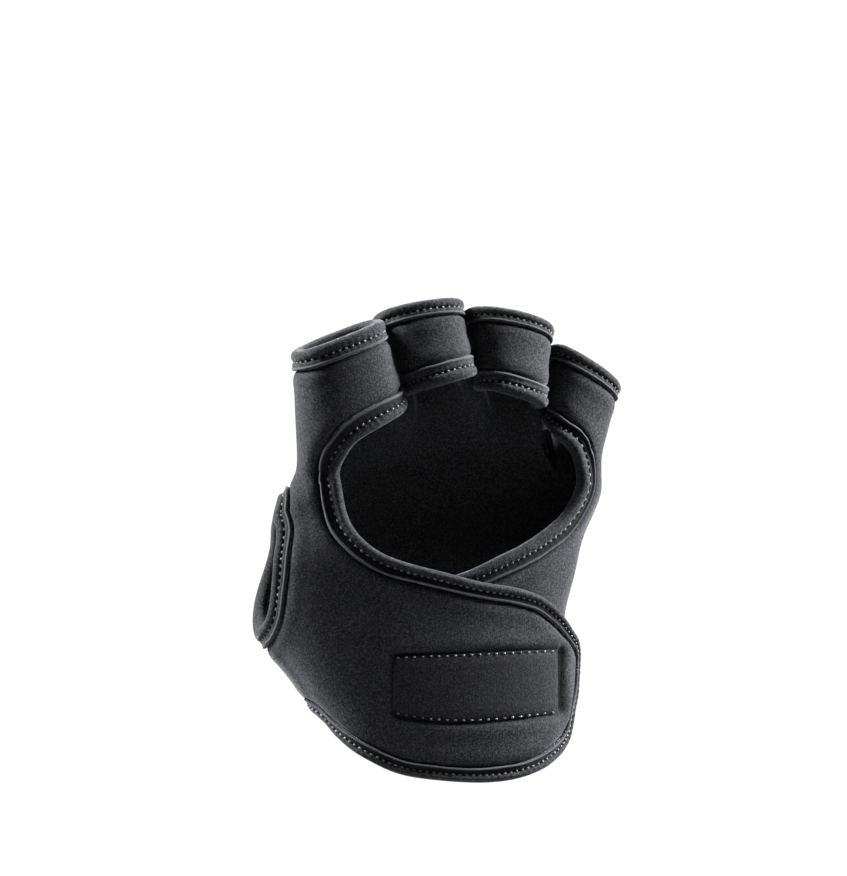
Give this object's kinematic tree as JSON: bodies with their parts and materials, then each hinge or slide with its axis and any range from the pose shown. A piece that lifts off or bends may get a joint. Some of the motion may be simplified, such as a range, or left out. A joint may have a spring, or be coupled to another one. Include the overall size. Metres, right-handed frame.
{
  "type": "neoprene training glove",
  "caption": "Right-hand neoprene training glove with short finger loops, an open back, a thumb hole and a wide wrist flap, in its worn shape.",
  "frame": {"origin": "where the hand sits: the middle of the wrist opening, level with the flap's lowest hem", "axes": "+Z from the wrist to the fingers, -Y out of the back of the hand, -X towards the thumb"},
  "size_m": [0.1134, 0.0556, 0.1473],
  "materials": {
    "neoprene": "fine charcoal knit over foam, dull sheen",
    "binding": "folded charcoal edge tape with a stitched groove",
    "label": "smooth dark grey woven patch",
    "hook": "matt black hook tape"
  },
  "bodies": {
    "root": {"main_panel": "neoprene", "middle_band": "neoprene", "ring_band": "neoprene", "opening_binding": "binding", "hem_binding": "binding", "outer_side_binding": "binding", "thumb_hole_binding": "binding", "index_upper_binding": "binding", "middle_upper_binding": "binding", "ring_upper_binding": "binding", "little_upper_binding": "binding", "middle_lower_binding": "binding", "ring_lower_binding": "binding", "label_patch": "label", "hook_patch": "hook"}
  },
  "joints": []
}
